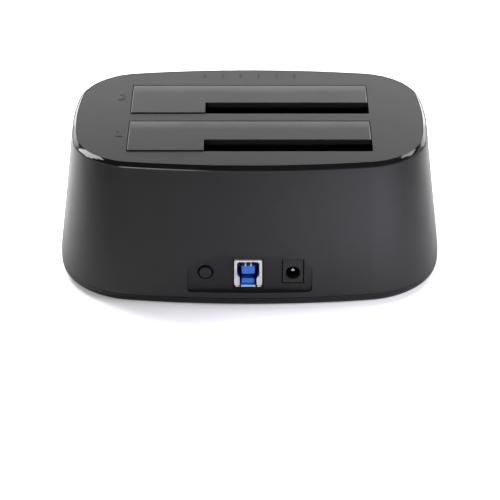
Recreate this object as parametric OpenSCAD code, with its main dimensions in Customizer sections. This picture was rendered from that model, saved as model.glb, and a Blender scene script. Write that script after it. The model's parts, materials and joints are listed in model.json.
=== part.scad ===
// Dual-bay docking station for 2.5 inch and 3.5 inch drives, as separate nodes.
// X is the width, +Y points to the front, Z is up and zero is the table. Sizes are in mm.

/* [Housing] */
// how far a corner's centre lies inside the sides of the bays
corner_x = 4.7; // [-8.5:0.3:15.5]
// how far a corner's centre lies inside the ends of the bays
corner_y = 15.15; // [2.25:0.1:18.75]
// corner radius of the top face in plan
corner_r = 26; // [24:0.5:40]
// how flat the bowed sides are, larger is flatter
bow = 15; // [12:1:30]
// height of the top face above the table
top_z = 63.7; // [60:0.1:80]
// how far the wall leans out from the top edge to the foot of the wall
flare = 8.8; // [7.5:0.1:12]
// width of the polished bevel in plan
bevel_run = 2; // [1.5:0.1:3]
// height of the polished bevel
bevel_drop = 1.7; // [0.8:0.1:2]
// how far the bevel swells past a flat chamfer
bevel_bulge = 0.12; // [0:0.02:0.2]
// width of the flat crest at the top of the bevel
crest_w = 0.15; // [0.1:0.05:0.3]
// length of the rounding where the bevel meets the wall
edge_r = 0.5; // [0.2:0.1:0.8]
// wall thickness, measured level
wall = 2.2; // [1.8:0.1:2.6]
// height of the parting line
seam_z = 5; // [4.5:0.1:6]
// open groove at the parting line
seam_gap = 0.3; // [0.2:0.05:0.6]
// step from the wall's foot back to the bottom cover's rim
seam_step = 0.15; // [0:0.05:0.4]
// radius of the bottom cover's rounded rim
rim_r = 4.5; // [3:0.1:5]
// thickness of the bottom cover
floor_t = 2; // [1.6:0.1:2.6]
// radius of the screw posts
post_r = 3.5; // [3:0.1:4]

/* [Top panel] */
// how far the panel lies under the bevel's crest
panel_sink = 0.1; // [0.05:0.05:0.3]
// thickness of the matte top panel
panel_t = 2.2; // [1.8:0.1:2.4]
// width of the ledge that carries the panel
ledge_w = 2.1; // [1.5:0.1:2.4]
// height of that ledge
ledge_t = 1.8; // [1.2:0.1:2.2]
// clearance round seated pieces
fit = 0.1; // [0.05:0.05:0.2]
// distance between the light slots
lamp_pitch = 8; // [6:0.1:8.5]
// length of a light slot
lamp_len = 3.8; // [3:0.1:5]
// width of a light slot
lamp_w = 1; // [0.8:0.1:1.6]
// plan distance from the front bay to the middle of the light slots
lamp_y = 8.85; // [8.4:0.05:9.6]

/* [Bays] */
// width of a bay, for 101.6 mm drives
bay_w = 103; // [102.6:0.1:105]
// depth of a bay, for 26.1 mm drives and the open flap beside them
bay_d = 28.8; // [28.3:0.1:29.3]
// width of the slot that stays open, for 69.85 mm drives
slot_w = 70.7; // [70.4:0.1:73]
// depth of the slot that stays open, for 9.5 mm drives
slot_d = 10.3; // [9.4:0.1:10.8]
// plan position of the middle of both bays
bay_mid = -1.1; // [-1.6:0.1:-0.6]
// wall thickness of the drive frames
frame_wall = 1.2; // [1:0.1:1.3]
// space between the two drive frames
frame_gap = 0.4; // [0.3:0.1:0.8]
// height of a bay's floor
bay_floor = 28.5; // [28:0.1:29]
// corner radius of the bay openings
bay_r = 0.8; // [0.4:0.1:1.2]

/* [Flaps] */
// thickness of a dust flap
flap_t = 2; // [1.6:0.1:2.2]
// how far a flap's crown stands above the panel
flap_rise = 0.35; // [0.1:0.05:0.5]
// length of the slope from the crown down to the hinge edge
flap_fall = 8; // [5:0.5:12]
// radius of a flap's hinge edge
flap_edge = 0.6; // [0.3:0.1:1.4]
// radius of a flap's end edges
flap_end = 0.5; // [0.2:0.1:0.8]
// gap round a flap
flap_gap = 0.3; // [0.25:0.05:0.4]
// gap at the free edge of a flap
tip_gap = 0.6; // [0.5:0.05:0.8]
// plan distance from a bay's far edge back to the hinge pin
hinge_back = 2.3; // [2.2:0.05:2.4]
// depth of the hinge pin under the panel's top
hinge_drop = 3.5; // [3.4:0.05:3.6]
// room behind a bay for the hinge
hinge_room = 4.1; // [4:0.05:4.5]
// radius of a hinge pin
pin_r = 0.8; // [0.7:0.05:0.9]
// radius of the flap's hinge barrels
barrel_r = 1.5; // [1.3:0.05:1.55]
// radial running clearance on pins
pin_fit = 0.05; // [0.02:0.01:0.09]
// wire radius of the flap springs
wire_r = 0.2; // [0.15:0.01:0.22]

/* [Rear panel] */
// plan distance from the top edge out to the flat connector panel
panel_y = 6.28; // [6:0.02:6.6]
// thickness of the connector panel
panel_wall = 1.8; // [1.4:0.1:1.9]
// width of the recess
recess_w = 52.6; // [48:0.2:54]
// height of the recess's lower edge
recess_lo = 7.7; // [7:0.1:8.2]
// height of the recess's upper edge
recess_hi = 24.3; // [24:0.1:25]
// plan position of the USB socket
usb_x = -0.6; // [-2:0.1:1]
// width of the USB socket
usb_w = 11.7; // [11.4:0.1:12.4]
// height of the USB socket
usb_h = 12.6; // [12.4:0.1:13]
// gap round the USB socket
usb_gap = 0.5; // [0.3:0.05:0.6]
// plan position of the power inlet
dc_x = 18.2; // [17:0.1:19]
// width of the power inlet
dc_w = 8.5; // [8.2:0.1:9.2]
// height of the power inlet
dc_h = 11; // [10.6:0.1:11.3]
// radius of the power inlet's mouth
dc_r = 3.1; // [2.9:0.05:3.2]
// gap beside and under the power inlet
dc_gap = 0.45; // [0.2:0.05:0.5]
// plan position of the power button
button_x = -18.5; // [-19.5:0.1:-17.5]
// height of the power button
button_z = 16.7; // [16.4:0.1:17]
// radius of the power button
button_r = 2.6; // [2.4:0.05:2.9]
// gap round the power button
button_gap = 0.7; // [0.35:0.05:0.8]
// how far the button stands out of the panel
button_out = 1.1; // [0.2:0.1:1.2]
// travel of the power button
button_travel = 1.5; // [1:0.1:1.8]

/* [Board] */
// height of the main board's underside
board_z = 22.7; // [22.6:0.1:22.9]
// thickness of the circuit boards
board_t = 1.6; // [1.2:0.1:1.6]
// plan distance from a bay's side in to the middle of its drive socket
sata_x = 24.5; // [23.5:0.5:27.5]
// length of a drive socket
sata_w = 42; // [41:0.1:44]
// depth of a drive socket
sata_d = 5.4; // [5:0.1:5.6]
// height of a drive socket over the board
sata_h = 10; // [9:0.1:11]

/* [Feet] */
// radius of a rubber foot
foot_r = 6; // [5:0.1:8]
// how far a foot stands out under the cover
foot_out = 0.5; // [0.4:0.1:1]
// depth of a foot's recess
foot_sink = 0.6; // [0.4:0.1:0.8]
// plan distance from a corner's centre to its foot, across the width
foot_x = 0.2; // [-7:0.1:3.2]
// plan distance from a corner's centre to its foot, along the depth
foot_y = 18.9; // [14.9:0.1:20.9]

/* [Hidden] */
$fn = 64;
ring_fn = 240;
eps = 0.01;
black = [0.05, 0.05, 0.055];
gloss = [0.03, 0.03, 0.035];
steel = [0.72, 0.73, 0.75];
green = [0.03, 0.16, 0.09];
gold = [0.8, 0.62, 0.25];
blue = [0.1, 0.25, 0.75];
clear = [0.75, 0.78, 0.8];

// bays
bay_pitch = bay_d + hinge_room + 2 * frame_wall + frame_gap;
bay_span = bay_pitch + bay_d;
near_rear = bay_mid - bay_span / 2;
near_front = near_rear + bay_pitch;
far_front = near_front + bay_d;
slot_x = bay_w / 2 - slot_w;

// the plan outline is eight arcs that meet at a tangent: corner centres plus two exact triangles,
// which come out even, so that the arcs meet without a step, where the centres keep to a fine grid
grid = bow / 50;
centre_x = grid * round((bay_w / 2 - corner_x) / grid);
centre_y = grid * round((bay_span / 2 - corner_y) / grid);
leg_ratio = (bow * bow - 1) / (2 * bow);
long_ratio = (bow * bow + 1) / (2 * bow);
y_leg = centre_x * leg_ratio;
y_long = centre_x * long_ratio;
x_leg = centre_y * leg_ratio;
x_long = centre_y * long_ratio;
r_y = y_long + corner_r;
r_x = x_long + corner_r;
c_y = centre_y - y_leg;
c_x = centre_x - x_leg;
half_d = c_y + r_y;
half_w = c_x + r_x;
corner = [centre_x, centre_y];
to_y = [centre_x, y_leg] / y_long;
to_x = [x_leg, centre_y] / x_long;
diag = [sqrt(0.5), sqrt(0.5)];

// heights
bevel_z = top_z - bevel_drop;
shell_lo = seam_z + seam_gap;
panel_hi = top_z - panel_sink;
panel_lo = panel_hi - panel_t;
ledge_lo = panel_lo - ledge_t;
lean = (flare - bevel_run) / (bevel_z - shell_lo);
cover_lo = foot_out;
cover_hi = cover_lo + floor_t;
function outer(z) = bevel_run + (bevel_z - z) * lean;
function inner(z) = outer(z) - wall;

// outer profile of the wall: crest, swollen bevel, rounding and wall
crest = [fit + crest_w, top_z];
brow = [bevel_run, bevel_z];
wall_foot = [flare, shell_lo];
bevel_across = (brow - crest) / norm(brow - crest);
bevel_normal = [-bevel_across.y, bevel_across.x];
wall_down = (wall_foot - brow) / norm(wall_foot - brow);
edge_share = 1 - edge_r / norm(brow - crest);
function swell(t) = crest + t * (brow - crest) + 4 * bevel_bulge * t * (1 - t) * bevel_normal;
function blend(a, b, c, t) = (1 - t) * (1 - t) * a + 2 * t * (1 - t) * b + t * t * c;

// screw posts stand inside the wall at each corner
post_skin = 0.8;
post_hi = 40;
post_lo = cover_hi + eps;
post_pilot = 1.15;
post_bore = 16;
post_off = (corner_r + outer(post_hi) - post_r - post_skin) * diag.x;
post_x = centre_x + post_off;
post_y = centre_y + post_off;
cover_screw_r = 1.1;
cover_screw_in = 12;
cover_hole_r = 1.6;
cover_head_r = 2.7;
cover_head_t = 1;
cover_bore_r = 3.2;
cover_bore_t = 1.1;
cover_seat = cover_lo + cover_bore_t;
lip_rise = 2;
lip_hi = seam_z + lip_rise;
lip_t = 1.35;
lip_gap = 0.25;
lip_room = 0.6;
ring_w = 20;
ring_lap = 16;
foot_fit = 0.1;
foot_edge = 0.4;

// top panel
hook_w = 6;
hook_t = 1.7;
hook_drop = 1.8;
hook_gap = 0.3;
hook_room = 0.4;
barb = 1.5;
hook_x = 36;

// drive frames and flaps
hinge_z = panel_hi - hinge_drop;
barrel_room = 0.6;
frame_hi = panel_lo - eps;
frame_lo = bay_floor - frame_wall;
flap_lo = panel_hi - flap_t;
flap_hi = panel_hi + flap_rise;
crown_r = (flap_fall * flap_fall + flap_rise * flap_rise) / (2 * flap_rise);
crown_z = flap_hi - crown_r;
edge_z = crown_z + sqrt(pow(crown_r - flap_edge, 2) - pow(flap_fall - flap_edge, 2));
edge_in = flap_edge * (crown_r - flap_fall) / (crown_r - flap_edge);
groove_z = hinge_z + barrel_r + barrel_room;
arm_w = 6;
arm_side = 6.5;
arm_out = bay_w / 2 - arm_side;
arm_in = 15;
arm_x = [-arm_out, -arm_in, arm_in, arm_out];
arm_t = 1;
arm_reach = 6;
rib_in = 3;
rib_back = 2;
rib_drop = 1.2;
flange_out = 6;
flange_x = bay_w / 2 + flange_out;
flange_r = 4;
flange_drop = 8.4;
flange_lo = panel_lo - flange_drop;
flange_t = 2;
flange_near = 5;
flange_far = 1;
flange_hole_r = 1.4;
boss_r = 3;
boss_lo = flange_lo + flange_t + eps;
lamp_boss_r = 2.5;
screw_r = 0.95;
pilot_r = 1;
pilot_skin = 0.5;
screw_end = 0.3;
screw_fit = 0.05;
head_r = 2.4;
head_t = 1.7;
flat_head_t = 1.4;
standoff_in = 7.5;
standoff_x = bay_w / 2 - standoff_in;
standoff_r = 2.5;
standoff_near = 8;
standoff_far = 1;
back_rib_hi = 38;
back_rib_t = 2;
back_rib_x = 40;
spring_gap = 0.45;
spring_fit = 0.15;
spring_leg = 7;
press = 0.02;
pin_end = 0.1;

// rear panel
panel_out = -half_d - panel_y;
panel_in = panel_out + panel_wall;
cut = 8;
recess_r = 1.5;
recess_stock = 2;
recess_skin = 0.5;
recess_top = recess_hi + recess_stock;
usb_seat = 0.5;
usb_top = board_z - usb_seat;
usb_lo = usb_top - usb_h;
usb_proud = 0.2;
usb_front = panel_out - usb_proud;
usb_len = 17;
usb_back = usb_front + usb_len;
usb_skin = 0.35;
usb_face = 0.6;
usb_fit = 0.05;
usb_deep = 9;
usb_round = 0.7;
mouth_wide = 4.7;
mouth_thin = 3.6;
mouth_lo = 0.55;
mouth_top = 0.7;
mouth_corner = 0.75;
shoulder_lo = 4.1;
shoulder_hi = 5.6;
notch_x = 3.4;
notch_w = 0.9;
notch_h = 0.5;
slit_h = 0.35;
tongue_half = 2.7;
tongue_in = 0.9;
upper_lo = 5.45;
upper_hi = 9.1;
lower_lo = 0.95;
lower_hi = 3.15;
pad_x = 1.15;
pad_w = 0.7;
pad_t = 0.3;
pad_in = 0.95;
lane_in = 4;
lane_pitch = 1;
lane_w = 0.5;
tail_w = 2;
tail_back = 6;
dc_seat = 0.05;
dc_top = board_z - dc_seat;
dc_lo = dc_top - dc_h;
dc_drop = 6.4;
dc_z = board_z - dc_drop;
dc_len = 14;
dc_back = panel_out + dc_len;
dc_deep = 10;
dc_flange = 3.2;
dc_neck = 0.2;
dc_pin_r = 1;
dc_pin_in = 2.3;
dc_pin_tail = 0.6;
dc_pin_tip = 0.4;
dc_slot_w = 2.6;
dc_slot_d = 0.7;
dc_slot_in = 4;
leaf_w = 2.2;
leaf_t = 0.25;
leaf_rise = 0.75;
leaf_crest = 2.6;
cap_skin = 2.2;
cap_edge = 0.3;
cap_in = 5.2;
cap_back = panel_out + cap_in;
switch_room = 0.7;
switch_front = cap_back + button_travel + switch_room;
switch_len = 6.5;
switch_back = switch_front + switch_len + button_travel;
switch_half = 3.8;
switch_wall = 0.8;
plunger_r = 1.2;
plunger_tail = 3;
collar_r = 1.8;
collar_t = 0.8;
cavity_r = 2.1;
cavity_in = 1.2;
cavity_y = switch_front + cavity_in;
coil_mid = 1.6;
coil_wire = 0.12;

// boards
board_hi = board_z + board_t;
board_side = 0.5;
board_x = bay_w / 2 - board_side;
board_in = 5.4;
board_rear = panel_in + board_in;
board_past = 3.65;
board_front = far_front + board_past;
board_hole_r = 1.2;
tongue_side = 1;
tongue_x = recess_w / 2 + tongue_side;
tongue_gap = 0.3;
tongue_rear = tongue_gap - c_y - sqrt(pow(r_y + inner(board_hi), 2) - pow(tongue_x, 2));
light_y = far_front + lamp_y;
lead_tab = 12;
lead_tab_past = 4;
lead_tab_front = light_y + lead_tab_past;
led_board_drop = 5.5;
led_board_lo = panel_lo - led_board_drop;
led_board_hi = led_board_lo + board_t;
led_board_x = 31;
led_board_rear = 2.7;
led_board_front = 3.2;
led_screw_x = 28;
led_head_r = 2;
led_w = 1.6;
led_len = 3.2;
led_t = 0.8;
lamp_n = 6;
guide_gap = 1;
guide_t = 1.2;
guide_d = 3.6;
guide_end = 2;
guide_fit = 0.05;
lead_off = 0.2;
lead_y = light_y + lead_off;
lead_core = 0.55;
lead_pitch = 1;
lead_cores = 5;
lead_in = 1.2;
lead_fit = 0.1;
header_w = 9;
header_d = 4;
header_t = 5;
socket_x = bay_w / 2 - sata_x;
sata_in = 2.4;
sata_off = 0.3;
sata_room = 1;
sata_pitch = 1.27;
sata_slot = 1.6;
sata_deep = 7.5;
sata_short_x = -13.2;
sata_long_x = 6.2;
sata_short_w = 10.6;
sata_long_w = 21.4;
sata_key = 1.3;
sata_round = 0.6;
sata_pad_w = 0.7;
sata_pad_t = 0.4;
chip_side = 20.5;
chip_x = bay_w / 2 - chip_side;
chip_back = 3.35;
chip_y = near_front - chip_back;
chip_w = 10;
chip_t = 1.2;
can_side = 17.5;
can_x = bay_w / 2 - can_side;
can_back = 2.65;
can_y = near_rear - can_back;
can_pitch = 8;
can_r = 3.15;
can_h = 8;
coil_side = 22;
coil_x = bay_w / 2 - coil_side;
coil_in = 6.85;
coil_y = near_rear + coil_in;
coil_pitch = 9;
coil_w = 7;
coil_t = 4;
coil_round = 1;

module slab(lo, hi) {
    translate(lo)
        cube(hi - lo);
}

module rod_z(x, y, z0, z1, r) {
    translate([x, y, z0])
        cylinder(h = z1 - z0, r = r);
}

module rod_y(x, z, y0, y1, r) {
    translate([x, y0, z])
        rotate([-90, 0, 0])
            cylinder(h = y1 - y0, r = r);
}

module rod_x(y, z, x0, x1, r) {
    translate([x0, y, z])
        rotate([0, 90, 0])
            cylinder(h = x1 - x0, r = r);
}

// extrudes a shape drawn in X and Z from y0 to y1
module along_y(y0, y1) {
    translate([0, y1, 0])
        rotate([90, 0, 0])
            linear_extrude(y1 - y0)
                children();
}

// extrudes a shape drawn in Y and Z from x0 to x1
module along_x(x0, x1) {
    translate([x0, 0, 0])
        rotate([90, 0, 90])
            linear_extrude(x1 - x0)
                children();
}

// a flat rectangle whose upper corners are rounded, the first or both
module crowned(lo, hi, r_lo, r_hi) {
    translate([lo.x + r_lo, lo.y])
        square([hi.x - lo.x - r_lo - r_hi, hi.y - lo.y]);
    for (end = [[lo.x + r_lo, r_lo, -1], [hi.x - r_hi, r_hi, 1]])
        if (end[1] > 0) {
            r = end[1];
            side = end[0] - (end[2] < 0 ? r : 0);
            translate([side, lo.y])
                square([r, hi.y - lo.y - r]);
            intersection() {
                translate([end[0], hi.y - r])
                    circle(r);
                translate([side, hi.y - r])
                    square(r);
            }
        }
}

module rounded(lo, hi, r) {
    slab([lo.x + r, lo.y, lo.z], [hi.x - r, hi.y, hi.z]);
    slab([lo.x, lo.y + r, lo.z], [hi.x, hi.y - r, hi.z]);
    for (x = [lo.x + r, hi.x - r])
        for (y = [lo.y + r, hi.y - r])
            rod_z(x, y, lo.z, hi.z, r);
}

module four() {
    for (x = [0, 1])
        for (y = [0, 1])
            mirror([x, 0, 0])
                mirror([0, y, 0])
                    children();
}

// sweeps a profile round the plan outline: its x is the distance outside the top edge, its y is height
module around() {
    past = 1.2;
    beside = 1.5;
    span = 2 * top_z;
    beyond = 2 * (corner_r + flare);
    for (s = [0, 1])
        mirror([0, s, 0])
            intersection() {
                translate([0, c_y, 0])
                    rotate_extrude($fn = ring_fn)
                        translate([r_y, 0])
                            children();
                linear_extrude(span, center = true)
                    polygon([[0, c_y], [centre_x * past, c_y + y_leg * past],
                             [-centre_x * past, c_y + y_leg * past]]);
            }
    for (s = [0, 1])
        mirror([s, 0, 0])
            intersection() {
                translate([c_x, 0, 0])
                    rotate_extrude($fn = ring_fn)
                        translate([r_x, 0])
                            children();
                linear_extrude(span, center = true)
                    polygon([[c_x, 0], [c_x + x_leg * beside, -centre_y * beside],
                             [c_x + x_leg * beside, centre_y * beside]]);
            }
    four()
        intersection() {
            translate([centre_x, centre_y, 0])
                rotate_extrude($fn = ring_fn / 2)
                    translate([corner_r, 0])
                        children();
            linear_extrude(span, center = true)
                polygon([corner, corner + [x_leg, centre_y] / 2, corner + [beyond, beyond],
                         corner + [centre_x, y_leg] / 5]);
        }
}

// a prism that fills the middle of a swept ring, its edge at an offset from the top edge
module middle(off, z0, z1) {
    r = corner_r + off;
    quarter = [[0, half_d + off], corner + r * to_y, corner + r * diag, corner + r * to_x,
               [half_w + off, 0]];
    n = len(quarter);
    right_rear = [for (i = [n - 2:-1:0]) [quarter[i].x, -quarter[i].y]];
    left_rear = [for (i = [1:n - 1]) [-quarter[i].x, -quarter[i].y]];
    left_front = [for (i = [n - 2:-1:1]) [-quarter[i].x, quarter[i].y]];
    translate([0, 0, z0])
        linear_extrude(z1 - z0)
            polygon(concat(quarter, right_rear, left_rear, left_front));
}

module housing() {
    bevel = [for (t = [0:0.25:0.75]) swell(t * edge_share)];
    rounding = [for (t = [0:0.25:1])
        blend(swell(edge_share), brow, brow + edge_r * wall_down, t)];
    inside = [[flare - wall, shell_lo], [inner(ledge_lo), ledge_lo], [fit - ledge_w, ledge_lo],
              [fit - ledge_w, panel_lo - eps], [fit, panel_lo - eps], [fit, top_z]];
    color(gloss)
    difference() {
        union() {
            around()
                polygon(concat(bevel, rounding, [wall_foot], inside));
            recess_block();
            four()
                rod_z(post_x, post_y, post_lo, post_hi, post_r);
        }
        recess_cut();
        slab([usb_x - usb_w / 2 - usb_gap, panel_out - cut, usb_lo - usb_gap],
             [usb_x + usb_w / 2 + usb_gap, panel_in + cut, usb_top + usb_gap]);
        slab([dc_x - dc_w / 2 - dc_gap, panel_out - cut, dc_lo - dc_gap],
             [dc_x + dc_w / 2 + dc_gap, panel_in + cut, dc_top + fit]);
        rod_y(button_x, button_z, panel_out - cut, panel_in + cut, button_r + button_gap);
        four()
            rod_z(post_x, post_y, 0, post_lo + post_bore, post_pilot);
    }
}

// solid stock behind the recess, kept inside the wall's outer face
module recess_block() {
    half = recess_w / 2 + recess_stock;
    depth = panel_y + panel_wall + flare;
    hi = recess_top + recess_stock;
    intersection() {
        slab([-half, panel_out - cut, shell_lo], [half, panel_in, recess_top]);
        translate([0, -c_y, 0])
            rotate_extrude($fn = ring_fn)
                translate([r_y, 0])
                    polygon([[-depth, shell_lo], [flare - recess_skin, shell_lo],
                             [outer(hi) - recess_skin, hi], [-depth, hi]]);
    }
}

module recess_cut() {
    half = recess_w / 2;
    r = recess_r;
    along_y(panel_out - cut, panel_out) {
        translate([-half, recess_lo + r])
            square([recess_w, recess_hi - recess_lo - r]);
        translate([-half + r, recess_lo])
            square([recess_w - 2 * r, 2 * r]);
        for (x = [-half + r, half - r])
            translate([x, recess_lo + r])
                circle(r);
    }
}

module top_panel() {
    color(black)
    difference() {
        union() {
            around()
                translate([-ring_w, panel_lo])
                    square([ring_w, panel_t]);
            middle(ring_lap - ring_w, panel_lo, panel_hi);
            for (near = [near_rear, near_front])
                flange_spots(near)
                    rod_z(0, 0, boss_lo, panel_lo + eps, boss_r);
            for (s = [-1, 1])
                rod_z(s * led_screw_x, light_y, led_board_hi + eps, panel_lo + eps, lamp_boss_r);
            panel_hooks();
        }
        for (near = [near_rear, near_front]) {
            rounded([-bay_w / 2, near, panel_lo - 1], [bay_w / 2, near + bay_d, top_z + 1], bay_r);
            slab([-bay_w / 2, near + bay_d - bay_r - 1, panel_lo - 1],
                 [bay_w / 2, near + bay_d + hinge_room, groove_z]);
            flange_spots(near)
                rod_z(0, 0, boss_lo - 1, panel_lo + pilot_skin, pilot_r);
        }
        for (s = [-1, 1])
            rod_z(s * led_screw_x, light_y, led_board_hi - 1, panel_lo + pilot_skin, pilot_r);
        lamps()
            slab([-lamp_w / 2, -lamp_len / 2, panel_lo - 1], [lamp_w / 2, lamp_len / 2, top_z + 1]);
    }
}

// the places of one frame's four screws
module flange_spots(near) {
    for (x = [-flange_x, flange_x])
        for (y = [near + flange_near, near + bay_d + flange_far])
            translate([x, y, 0])
                children();
}

module lamps() {
    for (i = [0:lamp_n - 1])
        translate([(i - (lamp_n - 1) / 2) * lamp_pitch, light_y, 0])
            children();
}

// snap hooks that catch under the ledge
module panel_hooks() {
    lo = ledge_lo - hook_drop;
    barb_hi = ledge_lo - hook_gap;
    w = hook_w / 2;
    side_x = half_w + fit - ledge_w - hook_room;
    front_y = c_y + sqrt(pow(r_y + fit - ledge_w, 2) - pow(hook_x + w, 2)) - hook_room;
    for (s = [0, 1])
        mirror([s, 0, 0])
            along_y(-w, w)
                polygon([[side_x - hook_t, panel_lo + eps], [side_x - hook_t, lo], [side_x, lo],
                         [side_x + barb, barb_hi], [side_x, barb_hi], [side_x, panel_lo + eps]]);
    four()
        along_x(hook_x - w, hook_x + w)
            polygon([[front_y - hook_t, panel_lo + eps], [front_y - hook_t, lo], [front_y, lo],
                     [front_y + barb, barb_hi], [front_y, barb_hi], [front_y, panel_lo + eps]]);
}

module bottom_cover() {
    edge = flare - seam_step;
    root = edge - rim_r;
    color(black)
    difference() {
        union() {
            around()
                difference() {
                    union() {
                        translate([-ring_w, cover_lo])
                            square([ring_w + root, seam_z - cover_lo]);
                        intersection() {
                            translate([root, seam_z])
                                circle(rim_r);
                            translate([root - eps, cover_lo])
                                square([rim_r + 1, seam_z - cover_lo]);
                        }
                    }
                    translate([-ring_w - 1, cover_hi])
                        square([ring_w + 1 + flare - wall, seam_z]);
                }
            middle(ring_lap - ring_w, cover_lo, cover_hi);
            difference() {
                around()
                    translate([inner(lip_hi) - lip_gap - lip_t, cover_hi - eps])
                        square([lip_t, lip_hi - cover_hi]);
                slab([-recess_w / 2 - recess_stock - lip_room, -half_d - 2 * flare, cover_hi],
                     [recess_w / 2 + recess_stock + lip_room, 0, lip_hi + 1]);
            }
        }
        four() {
            rod_z(post_x, post_y, cover_lo - 1, cover_hi + 1, cover_hole_r);
            rod_z(post_x, post_y, cover_lo - 1, cover_seat, cover_bore_r);
            rod_z(centre_x + foot_x, centre_y + foot_y, cover_lo - 1, cover_lo + foot_sink,
                  foot_r + foot_fit);
        }
    }
}

module foot(sx, sy) {
    color(gloss)
    translate([sx * (centre_x + foot_x), sy * (centre_y + foot_y), 0])
        rotate_extrude()
            polygon([[0, 0], [foot_r - foot_edge, 0], [foot_r, foot_edge],
                     [foot_r, foot_out + foot_sink], [0, foot_out + foot_sink]]);
}

module cover_screws() {
    color(steel)
    four()
        translate([post_x, post_y, 0]) {
            rod_z(0, 0, cover_seat - cover_head_t, cover_seat, cover_head_r);
            rod_z(0, 0, cover_seat - eps, post_lo + cover_screw_in, cover_screw_r);
        }
}

module bay_frame(near) {
    half = bay_w / 2;
    far = near + bay_d;
    back = far + hinge_room;
    ear = flange_x - half;
    color(black)
    difference() {
        union() {
            slab([-half - frame_wall, near - frame_wall, frame_lo],
                 [half + frame_wall, back + frame_wall, frame_hi]);
            flange_spots(near)
                rod_z(0, 0, flange_lo, flange_lo + flange_t, flange_r);
            for (s = [0, 1])
                mirror([s, 0, 0])
                    for (y = [near + flange_near, far + flange_far])
                        slab([half, y - flange_r, flange_lo],
                             [half + ear, y + flange_r, flange_lo + flange_t]);
            rod_z(-standoff_x, near + standoff_near, board_hi + eps, frame_lo + eps, standoff_r);
            rod_z(standoff_x, far - standoff_far, board_hi + eps, frame_lo + eps, standoff_r);
        }
        difference() {
            slab([-half, near, bay_floor], [half, back, frame_hi + 1]);
            for (x = [0, back_rib_x])
                slab([x, far, bay_floor - 1], [x + back_rib_t, back + 1, back_rib_hi]);
        }
        slab([socket_x - sata_w / 2 - sata_room, near + sata_in - sata_room, frame_lo - 1],
             [socket_x + sata_w / 2 + sata_room, near + sata_in + sata_d + sata_room, bay_floor + 1]);
        rod_x(far + hinge_back, hinge_z, -half - frame_wall - 1, half + frame_wall + 1, pin_r + press);
        flange_spots(near)
            rod_z(0, 0, flange_lo - 1, flange_lo + flange_t + 1, flange_hole_r);
        for (at = [[-standoff_x, near + standoff_near], [standoff_x, far - standoff_far]])
            rod_z(at.x, at.y, board_hi - 1, bay_floor - pilot_skin, screw_r);
    }
}

module frame_screws() {
    color(steel)
    for (near = [near_rear, near_front])
        flange_spots(near) {
            rod_z(0, 0, flange_lo - head_t, flange_lo - eps, head_r);
            rod_z(0, 0, flange_lo - 2 * eps, panel_lo - pilot_skin, screw_r);
        }
}

// a flap from the side: flat, then a wide arc down to the panel's level, then the rounded hinge edge
module flap_section(near, edge) {
    foot = edge - flap_fall;
    translate([near, flap_lo])
        square([foot - near, flap_hi - flap_lo]);
    intersection() {
        translate([foot, crown_z])
            circle(crown_r, $fn = 3 * ring_fn);
        translate([foot, flap_lo])
            square([flap_fall - edge_in, flap_hi - flap_lo]);
    }
    translate([edge - flap_edge, edge_z])
        circle(flap_edge);
    translate([edge - flap_edge, flap_lo])
        square([flap_edge, edge_z - flap_lo]);
}

// the L-shaped plate leaves the small slot open, and its arms reach under the panel to the pin
module flap(near) {
    half = bay_w / 2 - flap_gap;
    far = near + bay_d;
    axis_y = far + hinge_back;
    edge = far - flap_gap;
    rib_y = near + slot_d + rib_back;
    color(black)
    difference() {
        union() {
            intersection() {
                translate([0, 0, flap_lo - 1])
                    linear_extrude(flap_t + 2)
                        polygon([[-half, near + tip_gap], [slot_x, near + tip_gap], [slot_x, near + slot_d],
                                 [half, near + slot_d], [half, edge], [-half, edge]]);
                along_x(-half, half)
                    flap_section(near, edge);
                along_y(near, edge)
                    crowned([-half, flap_lo], [half, flap_hi], flap_end, flap_end);
            }
            slab([-half + rib_in, rib_y, flap_lo - rib_drop],
                 [half - rib_in, rib_y + rib_drop, flap_lo + eps]);
            for (x = arm_x) {
                along_x(x - arm_w / 2, x + arm_w / 2)
                    polygon([[edge - arm_reach, flap_lo + eps], [edge - arm_reach + arm_t, hinge_z - arm_t],
                             [axis_y, hinge_z - arm_t], [axis_y, hinge_z + arm_t], [edge, hinge_z + arm_t],
                             [edge, flap_lo + eps]]);
                rod_x(axis_y, hinge_z, x - arm_w / 2, x + arm_w / 2, barrel_r);
            }
        }
        rod_x(axis_y, hinge_z, -half - 1, half + 1, pin_r + pin_fit);
    }
}

module flap_pin(near) {
    reach = bay_w / 2 + frame_wall - pin_end;
    color(steel)
        rod_x(near + bay_d + hinge_back, hinge_z, -reach, reach, pin_r);
}

// a round wire along a path: each path item is a point and the two directions across it
module wire(path, r, sides) {
    n = len(path);
    points = [for (p = path) for (k = [0:sides - 1])
        p[0] + r * (cos(360 * k / sides) * p[1] + sin(360 * k / sides) * p[2])];
    skin = [for (i = [0:n - 2]) for (k = [0:sides - 1])
        let (a = i * sides + k, b = i * sides + (k + 1) % sides)
            each [[a, b, b + sides], [a, b + sides, a + sides]]];
    first = [for (k = [sides - 1:-1:0]) k];
    last = [for (k = [0:sides - 1]) (n - 1) * sides + k];
    polyhedron(points, concat([first], skin, [last]), convexity = 8);
}

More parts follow.
